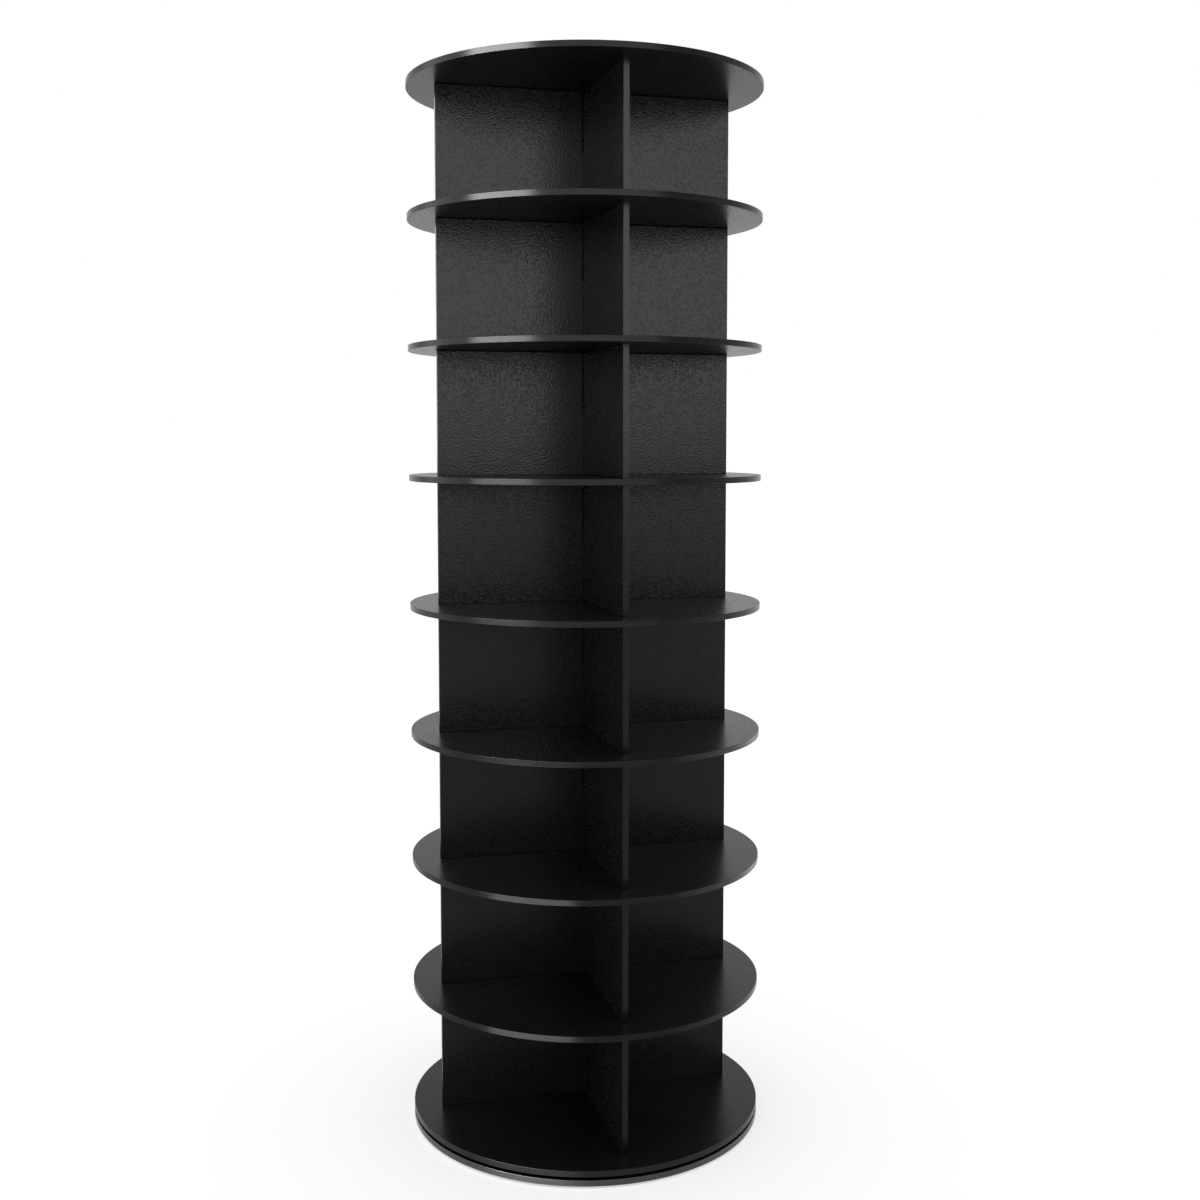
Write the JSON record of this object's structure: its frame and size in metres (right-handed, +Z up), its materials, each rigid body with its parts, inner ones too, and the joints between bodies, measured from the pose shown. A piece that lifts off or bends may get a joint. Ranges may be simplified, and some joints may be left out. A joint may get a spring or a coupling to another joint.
{
  "type": "rotating shoe tower",
  "caption": "Round rotating shoe tower: tiers of open quarter compartments between round shelves, on a ring-bearing turntable over a fixed base disc.",
  "frame": {"origin": "on the floor, at the centre of the base, under the tower's turning axis", "axes": "+Z up along the turning axis; +X along the wide boards of the crosses; -Y towards the front dividers"},
  "size_m": [0.5599, 0.56, 1.6504],
  "materials": {
    "black_melamine_board": "melamine-faced, fine pearl embossing, semi-gloss",
    "black_edging_strip": "extruded strip, satin",
    "rubber_foot": "matt",
    "aluminium_ring": "extruded, bright",
    "zinc_plated_screw": "bright zinc plate",
    "bearing_steel": "polished",
    "nylon_cage": "moulded, matt",
    "beech_dowel": "raw, fluted",
    "black_cover_cap": "self-adhesive film, satin"
  },
  "bodies": {
    "base": {"base_disc": "black_melamine_board", "base_edging": "black_edging_strip", "base_feet": "rubber_foot", "bearing_outer_ring": "aluminium_ring", "bearing_outer_ring_screws": "zinc_plated_screw"},
    "ball_cage": {"bearing_cage": "nylon_cage", "bearing_balls": "bearing_steel"},
    "tower": {"turntable_disc": "black_melamine_board", "shelf_1_disc": "black_melamine_board", "shelf_2_disc": "black_melamine_board", "shelf_3_disc": "black_melamine_board", "shelf_4_disc": "black_melamine_board", "shelf_5_disc": "black_melamine_board", "shelf_6_disc": "black_melamine_board", "shelf_7_disc": "black_melamine_board", "top_disc": "black_melamine_board", "tier_1_wide_board": "black_melamine_board", "tier_1_divider": "black_melamine_board", "tier_2_wide_board": "black_melamine_board", "tier_2_divider": "black_melamine_board", "tier_3_wide_board": "black_melamine_board", "tier_3_divider": "black_melamine_board", "tier_4_wide_board": "black_melamine_board", "tier_4_divider": "black_melamine_board", "tier_5_wide_board": "black_melamine_board", "tier_5_divider": "black_melamine_board", "tier_6_wide_board": "black_melamine_board", "tier_6_divider": "black_melamine_board", "tier_7_wide_board": "black_melamine_board", "tier_7_divider": "black_melamine_board", "tier_8_wide_board": "black_melamine_board", "tier_8_divider": "black_melamine_board", "turntable_edging": "black_edging_strip", "shelf_1_edging": "black_edging_strip", "shelf_2_edging": "black_edging_strip", "shelf_3_edging": "black_edging_strip", "shelf_4_edging": "black_edging_strip", "shelf_5_edging": "black_edging_strip", "shelf_6_edging": "black_edging_strip", "shelf_7_edging": "black_edging_strip", "top_edging": "black_edging_strip", "tier_1_edging": "black_edging_strip", "tier_2_edging": "black_edging_strip", "tier_3_edging": "black_edging_strip", "tier_4_edging": "black_edging_strip", "tier_5_edging": "black_edging_strip", "tier_6_edging": "black_edging_strip", "tier_7_edging": "black_edging_strip", "tier_8_edging": "black_edging_strip", "bearing_inner_ring": "aluminium_ring", "bearing_inner_ring_screws": "zinc_plated_screw", "turntable_screws": "zinc_plated_screw", "shelf_screws": "zinc_plated_screw", "top_screws": "zinc_plated_screw", "shelf_dowels": "beech_dowel", "top_screw_caps": "black_cover_cap"}
  },
  "joints": [
    {"name": "tower_spin", "type": "hinge", "parent": "base", "child": "tower", "pos_m": [0, 0, 0.0145], "axis": [0, 0, 1], "continuous": true},
    {"name": "cage_roll", "type": "hinge", "parent": "base", "child": "ball_cage", "pos_m": [0, 0, 0.0145], "axis": [0, 0, 1], "continuous": true}
  ],
  "couplings": [
    {"joint": "cage_roll", "follows": "tower_spin", "ratio": 0.5}
  ]
}
